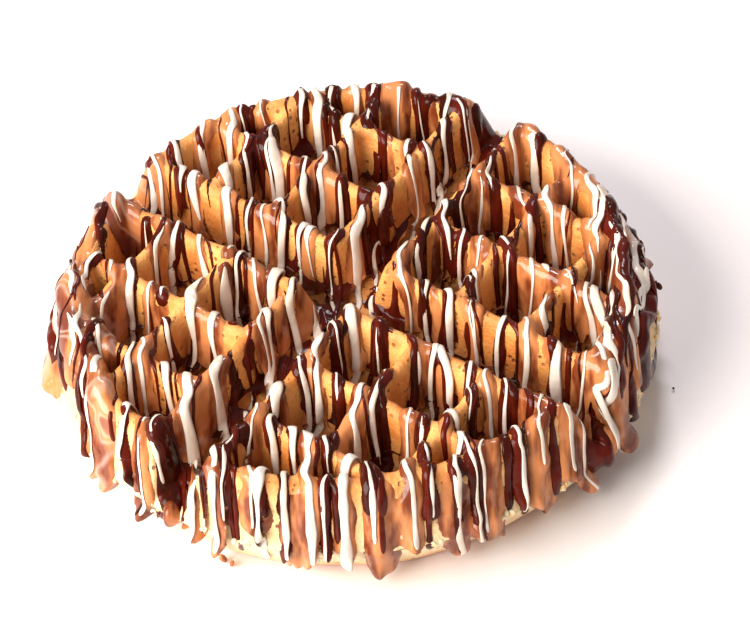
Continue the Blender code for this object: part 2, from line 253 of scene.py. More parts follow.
# Studio
FLOOR_SIZE = 6.0
FLOOR_DROP = -0.05 * MM
ROOM_LIGHT = 0.42
SENSOR_WIDTH = 36.0      # millimetres
TARGET = Vector((11.59, -6.41, 34.0)) * MM
LIGHTS = (
    ("window", (-0.36, -0.745, 0.56), (0.9, 0.75), 26.0, "#FFFAF3"),
    ("back", (-0.55, 0.85, 1.0), (0.3, 0.25), 8.0, "#FAF6FF"),
)

# Sizes of the iron: name, what it says and millimetres
IRON_SIZES = (
    ("height", "Table to ridge tops", 34),
    ("seam_height", "Where the plates met", 15.5),
    ("top_radius", "Rim at the top", 80.8),
    ("seam_radius", "Rim at the seam", 88),
    ("base_radius", "Rim at the table", 81.5),
    ("pitch", "One pocket and one ridge", 23),
    ("channel_pitch", "Between the ridges beside a channel", 19.8),
    ("ridge_top", "Width of a ridge", 3.8),
    ("rim_wall", "Thickness of the rim", 4.6),
    ("upper_depth", "Pockets on top", 16),
    ("lower_depth", "Pockets underneath", 12.5),
    ("corner", "Rounding of pocket corners", 3.6),
    ("crown", "Roundness of the ridge tops", 0.9),
    ("sag", "Dip of a ridge between crossings", 1.0),
    ("edge", "Rounding of ridges and floors", 4),
    ("rim_rounding", "Rounding of the rim", 7),
    ("flash_width", "Ragged fringe", 0.6),
    ("flash_thickness", "Half its thickness", 0.9),
    ("unevenness", "Waviness of the dough", 1.5),
)

# Kinds of node, and settings, that the trees use again and again
MATH = "ShaderNodeMath"
VECTOR = "ShaderNodeVectorMath"
SPLIT = "ShaderNodeSeparateXYZ"
COMBINE = "ShaderNodeCombineXYZ"
ROTATE = "ShaderNodeVectorRotate"
RANGE = "ShaderNodeMapRange"
MIX = "ShaderNodeMix"
NOISE = "ShaderNodeTexNoise"
VORONOI = "ShaderNodeTexVoronoi"
BUMP = "ShaderNodeBump"
PLACE = "GeometryNodeInputPosition"
MOVE = "GeometryNodeSetPosition"
STORE = "GeometryNodeStoreNamedAttribute"
NAMED = "GeometryNodeInputNamedAttribute"
DELETE = "GeometryNodeDeleteGeometry"
BLUR = "GeometryNodeBlurAttribute"
OBJECT = "GeometryNodeObjectInfo"
GROUP = "GeometryNodeGroup"
SMOOTH = {"interpolation_type": "SMOOTHSTEP"}
VECTORS = {"data_type": "FLOAT_VECTOR"}
ABOUT_Z = {"rotation_type": "Z_AXIS", "invert": True}
SHAPE = {"Geometry": ("Geometry",)}
PLATE_SIZES = ("Pitch", "Channel pitch", "Ridge top", "Rim wall", "Wall slope", "Corner", "Edge")
HALVES = (0.5, 0.5, 0.5)
LEVEL = (1.0, 1.0, 0.0)


def linear(hex_colour):
    """Turn an sRGB hex colour into linear red, green, blue and 1."""
    found = []
    for start in (1, 3, 5):
        value = int(hex_colour[start:start + 2], 16) / 255
        found.append(value / 12.92 if value <= 0.04045 else ((value + 0.055) / 1.055) ** 2.4)
    return (*found, 1.0)


def label_of(name):
    """The label of a property: its name in words."""
    return name.replace("_", " ").capitalize()


def fill(node, inputs):
    """Fill or link the inputs of a node, by name or in order."""
    for name, value in inputs.items() if isinstance(inputs, dict) else enumerate(inputs):
        socket = node.inputs[name]
        if isinstance(value, bpy.types.Node):
            value = value.outputs[0]
        if isinstance(value, bpy.types.NodeSocket):
            node.id_data.links.new(value, socket)
        else:
            socket.default_value = value


def add_node(tree, kind, inputs=(), operation=None, **settings):
    """Add a node with its settings, and fill or link its inputs."""
    made = tree.nodes.new(kind)
    if operation:
        made.operation = operation
    for name, value in settings.items():
        setattr(made, name, value)
    fill(made, inputs)
    return made


def new_tree(name, inputs, outputs):
    """A Geometry Nodes tree, what adds nodes to it, and its inputs.

    inputs and outputs hold the names of the sockets under their kinds.
    """
    tree = bpy.data.node_groups.new(name, "GeometryNodeTree")
    for way, kinds in (("INPUT", inputs), ("OUTPUT", outputs)):
        for kind, labels in kinds.items():
            for label in labels:
                tree.interface.new_socket(label, in_out=way, socket_type="NodeSocket" + kind)
    add = partial(add_node, tree)
    return tree, add, add("NodeGroupInput").outputs


def grow(item, tree, values):
    """Run the tree on the object and keep the result as its plain mesh."""
    step = item.modifiers.new(tree.name, "NODES")
    step.node_group = tree
    for entry in tree.interface.items_tree:
        if entry.item_type == "SOCKET" and entry.in_out == "INPUT" and entry.name in values:
            step[entry.identifier] = values[entry.name]
    graph = bpy.context.evaluated_depsgraph_get()
    mesh = bpy.data.meshes.new_from_object(item.evaluated_get(graph))
    mesh.name = item.name
    item.modifiers.clear()
    item.data = mesh
    if len(mesh.vertices) == 0:
        raise RuntimeError(f"{item.name} came out empty")
    return item


def new_object(name, data=None):
    """An object at the origin, with an empty mesh if it is given no data."""
    item = bpy.data.objects.new(name, data or bpy.data.meshes.new(name))
    bpy.context.scene.collection.objects.link(item)
    return item


def rim_swell(angle):
    """How far the dough stands out of the iron's circle, in metres."""
    return sum(height * math.cos(lobes * angle - math.radians(phase)) for lobes, height, phase in RIM_LOBES)


def from_middle(add, place):
    """The level way from the iron's middle to a place."""
    moved = add(VECTOR, (place, CENTRE), "SUBTRACT")
    return add(VECTOR, (moved, LEVEL), "MULTIPLY")


def quarter_circle(add, share):
    """The height of a quarter circle over a share from 0 to 1."""
    rest = add(MATH, (1.0, share), "SUBTRACT")
    rest = add(MATH, (rest, rest), "MULTIPLY")
    rest = add(MATH, (1.0, rest), "SUBTRACT")
    return add(MATH, (rest,), "SQRT")


def roughen(add, geometry, scale, amount, roughness):
    """Push each point of the geometry its own way, as a noise says."""
    swirl = add(NOISE, {"Vector": add(PLACE), "Scale": scale, "Detail": 2.0, "Roughness": roughness})
    offset = add(VECTOR, (swirl.outputs["Color"], HALVES), "SUBTRACT")
    offset = add(VECTOR, {0: offset, "Scale": amount}, "SCALE")
    return add(MOVE, {"Geometry": geometry, "Offset": offset})


def finish_tree(add, geometry, material):
    """Hand out the geometry smooth, real and in its material."""
    smooth = add("GeometryNodeSetShadeSmooth", {"Geometry": geometry})
    real = add("GeometryNodeRealizeInstances", (smooth,))
    dressed = add("GeometryNodeSetMaterial", {"Geometry": real, "Material": material})
    add("NodeGroupOutput", {"Geometry": dressed})


def swell_group():
    """Distance from the iron's middle, less the dough's swelling there."""
    tree, add, _ = new_tree("rim_swell", {}, {"Float": ("Radius", "Swell")})
    flat = from_middle(add, add(PLACE))
    radius = add(VECTOR, (flat,), "LENGTH").outputs["Value"]
    parts = add(SPLIT, (flat,)).outputs
    angle = add(MATH, (parts[1], parts[0]), "ARCTAN2")
    swell = 0.0
    for lobes, height, phase in RIM_LOBES:
        turned = add(MATH, (angle, float(lobes), -math.radians(phase)), "MULTIPLY_ADD")
        wave = add(MATH, (turned,), "COSINE")
        swell = add(MATH, (wave, height, swell), "MULTIPLY_ADD")
    evened = add(MATH, (radius, swell), "SUBTRACT")
    add("NodeGroupOutput", {"Radius": evened, "Swell": swell})
    return tree


def plate_group(swell):
    """How deep one plate of the iron pressed the dough at each point."""
    sizes = (*PLATE_SIZES, "Top radius", "Depth", "Crown", "Sag")
    tree, add, size = new_tree("iron_plate", {"Float": sizes}, {"Float": ("Cut",)})
    moved = add(VECTOR, (add(PLACE), CROSS), "SUBTRACT")
    parts = add(SPLIT, (moved,)).outputs
    half_pitch, half_top, half_channel = [
        add(MATH, (size[name], 0.5), "MULTIPLY")
        for name in ("Pitch", "Ridge top", "Channel pitch")
    ]
    beyond, nearest, folded = [], [], []
    for axis in (0, 1):
        away = add(MATH, (parts[axis],), "ABSOLUTE")
        past = add(MATH, (away, half_channel), "SUBTRACT")
        fold = add(MATH, (past, half_pitch), "PINGPONG")
        beyond.append(past)
        folded.append(fold)
        nearest.append(add(MATH, (fold, past), "MINIMUM"))
    rim = add(GROUP, node_tree=swell)
    rim_line = add(MATH, (size["Top radius"], size["Rim wall"]), "SUBTRACT")
    rim_line = add(MATH, (rim_line, half_top), "ADD")
    inside = add(MATH, (rim_line, rim.outputs["Radius"]), "SUBTRACT")
    quarter = add(MATH, (*nearest, size["Corner"]), "SMOOTH_MIN")
    quarter = add(MATH, (quarter, inside, size["Corner"]), "SMOOTH_MIN")
    both = add(MATH, (*beyond, size["Corner"]), "SMOOTH_MIN")
    channel = add(MATH, (both, -1.0), "MULTIPLY")
    off_ridge = add(MATH, (quarter, channel), "MAXIMUM")
    past_edge = add(MATH, (off_ridge, half_top), "SUBTRACT")
    wall = add(MATH, (past_edge, size["Wall slope"]), "DIVIDE")
    cut = add(MATH, (wall, 0.0, size["Edge"]), "SMOOTH_MAX")
    cut = add(MATH, (cut, size["Depth"], size["Edge"]), "SMOOTH_MIN")

    # Ridges are crowned, and dip between their crossings
    share = add(MATH, (off_ridge, half_top), "DIVIDE", use_clamp=True)
    crown = add(MATH, (share, 2.0), "POWER")
    cut = add(MATH, (crown, size["Crown"], cut), "MULTIPLY_ADD")
    from_crossing = add(MATH, folded, "MAXIMUM")
    from_crossing = add(MATH, (from_crossing, half_pitch), "DIVIDE")
    from_crossing = add(MATH, (from_crossing, SAG_CURVE), "POWER")
    within = add(MATH, (inside, SAG_FADE), "DIVIDE", use_clamp=True)
    sag = add(MATH, (from_crossing, within), "MULTIPLY")
    cut = add(MATH, (sag, size["Sag"], cut), "MULTIPLY_ADD")
    add("NodeGroupOutput", {"Cut": cut})
    return tree


def crust_tree():
    """The whole waffle: both plates' prints, the side wall and the flash."""
    swell = swell_group()
    plate = plate_group(swell)
    sizes = [label_of(name) for name, _, _ in IRON_SIZES]
    inputs = {"Float": (*sizes, "Wall slope", "Side"), "Int": ("Points",), "Material": ("Crust",)}
    tree, add, size = new_tree("baked_waffle", inputs, SHAPE)
    grid = add("GeometryNodeMeshGrid", (size["Side"], size["Side"], size["Points"], size["Points"]))
    place = add(PLACE)

    # Rows of the grid lie closer together on the steep side wall
    length = add(VECTOR, (place,), "LENGTH").outputs["Value"]
    near = add(MATH, (length, RIM_INSIDE), "MINIMUM")
    far = add(MATH, (length, near), "SUBTRACT")
    packed = add(MATH, (far, 1 / RIM_PACKING, near), "MULTIPLY_ADD")
    packed = add(MATH, (packed, length), "DIVIDE")
    packed = add(VECTOR, {0: place, "Scale": packed}, "SCALE")
    packed = add(VECTOR, (packed, CENTRE), "ADD")
    flat = add(MOVE, {"Geometry": grid, "Position": packed})
    rim = add(GROUP, node_tree=swell).outputs

    # Ragged line where the flash ends, and what is left of the grid inside it
    ragged = add(NOISE, {"Vector": place, "Scale": 1 / RAG_SIZE, "Detail": 3.0, "Roughness": 0.6})
    ragged = add(MATH, (ragged, *RAGS), "MULTIPLY_ADD")
    fringe = add(MATH, (ragged, size["Flash width"]), "MULTIPLY")
    limit = add(MATH, (size["Seam radius"], fringe), "ADD")
    outside = add(MATH, (rim["Radius"], limit), "GREATER_THAN")
    marked = add(STORE, {0: flat, "Name": "outside", "Value": outside}, data_type="BOOLEAN")
    outside = add(NAMED, ("outside",), data_type="BOOLEAN")
    kept = add(DELETE, (marked, outside), domain="FACE")
    spare = add(MATH, (limit, rim["Radius"]), "SUBTRACT")
    spare = add(MATH, (spare, 0.0), "MAXIMUM")
    kept = add(STORE, {0: kept, "Name": "from_edge", "Value": spare})
    reach = add(MATH, (limit, rim["Swell"]), "ADD")
    radius = add(MATH, (rim["Radius"], rim["Swell"]), "ADD")
    shrink = add(MATH, (reach, radius), "DIVIDE")
    shrink = add(MATH, (shrink, 1.0), "MINIMUM")
    from_centre = add(VECTOR, (place, CENTRE), "SUBTRACT")
    scaled = add(VECTOR, {0: from_centre, "Scale": shrink}, "SCALE")
    snapped = add(VECTOR, (scaled, CENTRE), "ADD")
    disc = add(MOVE, {"Geometry": kept, "Position": snapped})

    # Height of the flash over the seam, nothing at its ragged end
    spare = add(NAMED, ("from_edge",))
    off_edge = add(MATH, (spare, 0.0), "GREATER_THAN")
    lip = add(MATH, (spare, LIP_WIDTH), "DIVIDE", use_clamp=True)
    lip = add(MATH, (quarter_circle(add, lip), size["Flash thickness"]), "MULTIPLY")
    inward = add(MATH, (size["Seam radius"], rim["Radius"]), "SUBTRACT")
    inward = add(MATH, (inward, 0.0), "MAXIMUM")

    # The upper side, then the lower one, each with the print of its plate
    whole = add("GeometryNodeJoinGeometry")
    for upper in (True, False):
        depth = size["Upper depth"] if upper else size["Lower depth"]
        edge_radius = size["Top radius"] if upper else size["Base radius"]
        pressed = {name: size[name] for name in PLATE_SIZES + (("Crown", "Sag") if upper else ())}
        cut = add(GROUP, {**pressed, "Depth": depth, "Top radius": edge_radius}, node_tree=plate)
        rise = size["Seam height"]
        if upper:
            rise = add(MATH, (size["Height"], rise), "SUBTRACT")
        run = add(MATH, (size["Seam radius"], edge_radius), "SUBTRACT")
        steep = add(MATH, (rise, run), "DIVIDE")
        climb = add(MATH, (inward, steep, lip), "MULTIPLY_ADD")
        under = add(MATH, (rise, cut), "SUBTRACT")
        level = add(MATH, (climb, under, size["Rim rounding"]), "SMOOTH_MIN")
        level = add(MATH, (level, off_edge), "MULTIPLY")
        height = add(MATH, (size["Seam height"], level), "ADD" if upper else "SUBTRACT")
        lifted = add(COMBINE, (0.0, 0.0, height))
        side = add(MOVE, {"Geometry": disc, "Offset": lifted})
        share = add(MATH, (cut, depth), "DIVIDE", use_clamp=True)
        side = add(STORE, {0: side, "Name": "pocket_depth", "Value": share})
        fill(whole, (side if upper else add("GeometryNodeFlipFaces", (side,)),))
    whole = add("GeometryNodeMergeByDistance", {"Geometry": whole, "Distance": WELD})

    # Dough is never even: broad swells, then small ones, none at the table
    height = add(SPLIT, (place,)).outputs[2]
    clear = add(MATH, (height, STEADY_HEIGHT), "DIVIDE", use_clamp=True)
    for wave, share in DOUGH_WAVES:
        amount = add(MATH, (size["Unevenness"], share), "MULTIPLY")
        amount = add(MATH, (amount, clear), "MULTIPLY")
        whole = roughen(add, whole, 1 / wave, amount, 0.5)
    finish_tree(add, whole, size["Crust"])
    return tree


def coat_tree(name, patches):
    """A coat of chocolate in bands that follow the crust and run down it."""
    inputs = {
        "Object": ("Surface", "Paths"),
        "Float": ("Kind", "Halo", "Direction", "Band", "Run", "Cover", "Thickness", "Lowest",
                  "Highest", "Bead", "Seam height", "Seam radius", "Floor", "Fill", "Seed"),
        "Material": ("Chocolate",),
    }
    tree, add, size = new_tree(name, inputs, SHAPE)
    surface = add(OBJECT, (size["Surface"],)).outputs["Geometry"]
    normal = add(BLUR, {0: add("GeometryNodeInputNormal"), "Iterations": 3}, **VECTORS)
    normal = add(VECTOR, (normal,), "NORMALIZE")
    place = add(PLACE)
    height = add(SPLIT, (place,)).outputs[2]
    low = add(MATH, (height, FLOOR_LEVEL), "LESS_THAN")
    outer = from_middle(add, place)
    length = add(VECTOR, (outer,), "LENGTH").outputs["Value"]
    within = add(MATH, (length, RIM_INSIDE), "LESS_THAN")
    underneath = add(MATH, (low, within), "MULTIPLY")
    upper = add(DELETE, (surface, underneath), domain="FACE")

    # Coordinates across and along the drizzle, swaying a little
    turned = add(ROTATE, {"Vector": place, "Angle": size["Direction"]}, **ABOUT_Z)
    own = add(SPLIT, (turned,)).outputs
    seeded = {"Vector": turned, "W": size["Seed"], "Detail": 1.0}
    sway, wander, pool = [
        add(NOISE, {**seeded, "Scale": 1 / wave}, noise_dimensions="4D")
        for wave in (SWAY_SIZE, HALO_SIZE, POOL_SIZE)
    ]
    sway = add(MATH, (sway, 0.5), "SUBTRACT")
    across = add(MATH, (sway, SWAY, own[0]), "MULTIPLY_ADD")
    band_x = add(MATH, (across, size["Band"]), "DIVIDE")
    band_y = add(MATH, (own[1], size["Run"]), "DIVIDE")
    band = add(COMBINE, (band_x, band_y, size["Seed"]))
    stripes = add(NOISE, {"Vector": band, "Scale": 1.0, "Detail": 0.6})
    bare = add(MATH, (1.0, size["Cover"]), "SUBTRACT")
    share = add(MATH, (stripes, bare), "SUBTRACT")
    share = add(MATH, (share, BAND_SLOPE), "MULTIPLY")

    # The same chocolate beside the white strands that were poured with it
    paths = add(OBJECT, (size["Paths"],)).outputs["Geometry"]
    unlike = add(MATH, (add(NAMED, ("kind",)), size["Kind"]), "SUBTRACT")
    unlike = add(MATH, (unlike,), "ABSOLUTE")
    unlike = add(MATH, (unlike, 0.5), "GREATER_THAN")
    strand = add(
        "GeometryNodeProximity",
        {0: add(DELETE, (paths, unlike)), "Sample Position": place},
        target_element="EDGES",
    )
    halo = add(RANGE, (wander, *NOISE_SPAN, *HALO_RANGE))
    halo = add(MATH, (halo, size["Halo"]), "MULTIPLY")
    halo = add(MATH, (halo, strand.outputs["Distance"]), "SUBTRACT")
    halo = add(MATH, (halo, HALO_EDGE), "DIVIDE")
    share = add(MATH, (share, halo, HALO_JOIN), "SMOOTH_MAX")
    share = add(MATH, (share, 1.0, COAT_CREST), "SMOOTH_MIN")
    share = add(MATH, (share, COAT_LEAST), "MAXIMUM")
    thick = add(MATH, (share, size["Thickness"]), "MULTIPLY")

    # A film has an edge of its own, and doesn't thin out to nothing
    film = add(RANGE, (share, -FILM_EDGE, FILM_EDGE, 0.0, FILM), **SMOOTH)
    thick = add(MATH, (thick, film), "ADD")

    # Broad patches, where a sheet ran over the rim or a channel emptied
    cos, sin = math.cos(DRIZZLE_ANGLE), math.sin(DRIZZLE_ANGLE)
    sheets = 0.0
    for x, y, wide, long, extra in patches:
        off = []
        for line, middle, radius in (
            (across, x * cos + y * sin, wide), (own[1], y * cos - x * sin, long)
        ):
            away = add(MATH, (line, middle * MM), "SUBTRACT")
            off.append(add(MATH, (away, radius * MM), "DIVIDE"))
        off = add(VECTOR, (add(COMBINE, off),), "LENGTH").outputs["Value"]
        near = add(RANGE, (off, 0.0, PATCH_FADE, extra * MM, 0.0), **SMOOTH)
        sheets = add(MATH, (sheets, near), "ADD")
    thick = add(MATH, (thick, sheets), "ADD")

    # The lowest point that each band reaches on the side wall, lower for sheets
    drips = add(MATH, (band_x, size["Seed"]), "ADD")
    drips = add(
        VORONOI,
        {"W": drips, "Scale": DRIPS_PER_BAND, "Randomness": DRIP_SPREAD},
        voronoi_dimensions="1D",
    ).outputs
    lowest = add(SPLIT, (drips["Color"],))
    lowest = add(RANGE, (lowest, 0.0, 1.0, size["Lowest"], size["Highest"]))
    round_end = add(MATH, (drips["Distance"], 2.0), "POWER")
    lowest = add(MATH, (round_end, DRIP_ROUND, lowest), "MULTIPLY_ADD")
    sunk = add(MATH, (sheets, -SHEET_FALL, lowest), "MULTIPLY_ADD")
    sunk = add(MATH, (sunk, size["Lowest"]), "MAXIMUM")
    lowest = add(MATH, (sunk, lowest), "MINIMUM")
    short = add(MATH, (lowest, height), "SUBTRACT")
    short = add(MATH, (short, 0.0), "MAXIMUM")
    thick = add(MATH, (short, -DRIP_CUT, thick), "MULTIPLY_ADD")

    # A bead of chocolate gathers at the end of each drip
    over_end = add(MATH, (height, lowest), "SUBTRACT")
    from_bead = add(MATH, (over_end, size["Bead"]), "SUBTRACT")
    from_bead = add(MATH, (from_bead,), "ABSOLUTE")
    bead = add(RANGE, (from_bead, 0.0, BEAD_REACH, size["Bead"], 0.0), **SMOOTH)
    wet_enough = add(MATH, (share, 0.0), "MAXIMUM")
    bead = add(MATH, (bead, wet_enough), "MULTIPLY")
    thick = add(MATH, (bead, BEAD_SWELL, thick), "MULTIPLY_ADD")

    # Pools in the pockets, level on top
    pool = add(MATH, (pool, 0.5), "SUBTRACT")
    level = add(MATH, (pool, POOL_SPREAD, size["Fill"]), "MULTIPLY_ADD")
    level = add(MATH, (level, size["Floor"]), "ADD")
    rise = add(MATH, (level, height), "SUBTRACT")
    beyond = add(MATH, (1.0, within), "SUBTRACT")
    rise = add(MATH, (beyond, OFF_RIM, rise), "MULTIPLY_ADD")
    rise = add(MATH, (rise, *POOL_MOST), "SMOOTH_MIN")
    most = add(MATH, (thick, rise), "MAXIMUM")
    dry = add(MATH, (most, DRY), "LESS_THAN")
    wet = add(DELETE, (upper, dry), domain="FACE")
    inner = add(MATH, (thick, ROOT), "MAXIMUM")
    along_normal = add(VECTOR, {0: normal, "Scale": inner}, "SCALE")
    filled = add(MATH, (rise, ROOT), "MAXIMUM")
    straight_up = add(COMBINE, (0.0, 0.0, filled))
    is_pool = add(MATH, (rise, inner), "GREATER_THAN")
    offset = add(MIX, {0: is_pool, 4: along_normal, 5: straight_up}, data_type="VECTOR").outputs[1]

    # Below the seam, where the wall draws back, a coat hangs straight down
    rim = add(GROUP, node_tree=swell_group())
    overhang = add(MATH, (size["Seam radius"], rim.outputs["Radius"]), "SUBTRACT")
    overhang = add(MATH, (overhang, 0.0), "MAXIMUM")
    below = add(MATH, (height, size["Seam height"]), "LESS_THAN")
    hanging = add(RANGE, (thick, *HANGING, 0.0, 1.0), **SMOOTH)
    hanging = add(MATH, (hanging, below), "MULTIPLY")
    hanging = add(MATH, (hanging, overhang), "MULTIPLY")
    outward = add(VECTOR, (outer,), "NORMALIZE")
    outward = add(VECTOR, {0: outward, "Scale": hanging}, "SCALE")
    offset = add(VECTOR, (offset, outward), "ADD")
    moved = add(MOVE, {"Geometry": wet, "Offset": offset})

    # Melted chocolate draws itself smooth
    drawn = add(BLUR, {0: place, "Iterations": 4}, **VECTORS)
    finish_tree(add, add(MOVE, {"Geometry": moved, "Position": drawn}), size["Chocolate"])
    return tree


def cast(add, guides, ground):
    """Lay guide points on the ground along their aim, less those that miss."""
    aim = add(NAMED, ("aim",), **VECTORS)
    rays = {"Target Geometry": ground, "Ray Direction": aim, "Ray Length": RAY}
    landing = add("GeometryNodeRaycast", rays).outputs
    missed = add("FunctionNodeBooleanMath", (landing["Is Hit"],), "NOT")
    facing = add(STORE, {0: guides, "Name": "facing", "Value": landing["Hit Normal"]}, **VECTORS)
    marked = add(STORE, {0: facing, "Name": "missed", "Value": missed}, data_type="BOOLEAN")
    laid = add(MOVE, {"Geometry": marked, "Position": landing["Hit Position"]})
    return add(DELETE, (laid, add(NAMED, ("missed",), data_type="BOOLEAN")))


def path_tree():
    """Where the guides come down on the bare waffle, as a mesh of edges."""
    inputs = {"Geometry": ("Guides",), "Object": ("Ground",)}
    tree, add, size = new_tree("strand_paths", inputs, SHAPE)
    ground = add(OBJECT, (size["Ground"],)).outputs["Geometry"]
    add("NodeGroupOutput", {"Geometry": cast(add, size["Guides"], ground)})
    return tree


def line_tree():
    """Lines of chocolate laid on what is already there, with round ends."""
    layers = ("Ground", "First coat", "Second coat")
    inputs = {
        "Geometry": ("Guides",),
        "Object": layers,
        "Float": ("Lift", "Step", "Flatness"),
        "Material": ("Chocolate",),
    }
    tree, add, size = new_tree("chocolate_lines", inputs, SHAPE)
    ground = add("GeometryNodeJoinGeometry")
    for name in layers:
        fill(ground, (add(OBJECT, (size[name],)).outputs["Geometry"],))
    laid = cast(add, add("GeometryNodeMeshToCurve", {"Mesh": size["Guides"]}), ground)
    even = add("GeometryNodeResampleCurve", {"Curve": laid, "Length": size["Step"]}, mode="LENGTH")
    eased = add(BLUR, {0: add(PLACE), "Iterations": 1}, **VECTORS)
    soft = add(MOVE, {"Geometry": even, "Position": eased})
    way = add(BLUR, {0: add(NAMED, ("facing",), **VECTORS), "Iterations": 3}, **VECTORS)
    way = add(VECTOR, (way,), "NORMALIZE")
    lift = add(VECTOR, {0: way, "Scale": size["Lift"]}, "SCALE")
    raised = add(MOVE, {"Geometry": soft, "Offset": lift})
    turned = add("GeometryNodeSetCurveNormal", {"Curve": raised, "Normal": way}, mode="FREE")
    width = add(BLUR, {0: add(NAMED, ("width",)), "Iterations": 3})
    so_far = add("GeometryNodeSplineParameter").outputs["Length"]
    total = add("GeometryNodeSplineLength").outputs["Length"]
    to_end = add(MATH, (total, so_far), "SUBTRACT")
    spare = add(MATH, (to_end, so_far), "MINIMUM")
    taper = add(MATH, (width, LINE_END), "MULTIPLY")
    ramp = add(MATH, (spare, taper), "DIVIDE", use_clamp=True)
    ramp = add(MATH, (quarter_circle(add, ramp), LINE_TIP), "MAXIMUM")
    radius = add(MATH, (width, ramp), "MULTIPLY")
    ring = add("GeometryNodeCurvePrimitiveCircle", {"Resolution": 8, "Radius": 0.5}, mode="RADIUS")
    squash = add(COMBINE, (size["Flatness"], 1.0, 1.0))
    ring = add("GeometryNodeTransform", {"Geometry": ring, "Scale": squash})
    skin = {"Curve": turned, "Profile Curve": ring, "Scale": radius, "Fill Caps": True}
    finish_tree(add, add("GeometryNodeCurveToMesh", skin), size["Chocolate"])
    return tree


def crumb_tree():
    """A rough little lump of dough at each point, turned at random."""
    inputs = {"Geometry": ("Spots",), "Float": ("Roughness", "Grain"), "Material": ("Crumb",)}
    tree, add, size = new_tree("torn_crumbs", inputs, SHAPE)
    lump = add("GeometryNodeMeshIcoSphere", {"Radius": 0.5, "Subdivisions": 3})
    squash = add("GeometryNodeTransform", {"Geometry": lump, "Scale": CRUMB_FORM})
    turn = add("FunctionNodeRandomValue", {1: (math.tau,) * 3, "Seed": 5}, **VECTORS)
    width = add(NAMED, ("width",))
    spread = {"Points": size["Spots"], "Instance": squash, "Rotation": turn, "Scale": width}
    placed = add("GeometryNodeInstanceOnPoints", spread)
    real = add("GeometryNodeRealizeInstances", (placed,))
    rough = roughen(add, real, size["Grain"], size["Roughness"], 0.6)
    finish_tree(add, rough, size["Crumb"])
    return tree


def point_mesh(name, places, edges, **fields):
    """Points and edges, with the values of each field on the points."""
    mesh = bpy.data.meshes.new(name)
    mesh.from_pydata(places, edges, [])
    for label, values in fields.items():
        as_vector = len(values) > len(places)
        kind, slot = ("FLOAT_VECTOR", "vector") if as_vector else ("FLOAT", "value")
        mesh.attributes.new(label, kind, "POINT").data.foreach_set(slot, values)
    return mesh


def guide_mesh(name, guides):
    """Put the guides in a mesh of edges, with the aim and width of each point."""
    places, edges, aims, widths, kinds = [], [], [], [], []
    for guide, kind in guides:
        for index, (source, aim, wide) in enumerate(guide):
            if index:
                edges.append((len(places) - 1, len(places)))
            places.append(source)
            aims.extend(aim)
            widths.append(wide)
            kinds.append(kind)
    return point_mesh(name, places, edges, aim=aims, width=widths, kind=kinds)


def seam_spots(iron, seed):
    """Where dough tore as the iron opened: chosen places, then a scatter."""
    draw = random.Random(seed)
    rows = [(draw.uniform(-180.0, 180.0), draw.uniform(*CRUMB_SIZES)) for _ in range(CRUMB_COUNT)]
    for middle, spread, count, largest in TORN_PLACES:
        for _ in range(count):
            angle = middle + draw.uniform(-spread, spread)
            rows.append((angle, largest * draw.uniform(0.5, 1.0)))
    spots = []
    for angle, wide in rows:
        turn = math.radians(angle)
        out = iron.seam_radius + rim_swell(turn) + draw.uniform(*CRUMB_OUT) * wide * MM
        height = iron.seam_height + draw.uniform(*CRUMB_UP) * wide * MM
        place = Vector((out * math.cos(turn), out * math.sin(turn), height)) + CENTRE
        spots.append((place, wide * MM))
    return spots


def in_plan(across, along):
    """From the drizzle's own directions to X and Y, in metres."""
    cos, sin = math.cos(DRIZZLE_ANGLE), math.sin(DRIZZLE_ANGLE)
    return across * cos - along * sin, across * sin + along * cos


def wall_point(iron, across, height, end):
    """Where a strand's upright plane meets the side wall at a height."""
    seam = iron.seam_height
    above = height > seam
    share = (height - seam) / (iron.height - seam) if above else (seam - height) / seam
    edge = iron.top_radius if above else iron.base_radius
    radius = bare = iron.seam_radius + (edge - iron.seam_radius) * share
    for _ in range(3):
        along = end * math.sqrt(max(radius ** 2 - across ** 2, 0.0))
        x, y = in_plan(across, along)
        radius = bare + rim_swell(math.atan2(y, x))
    return Vector((x, y, height))


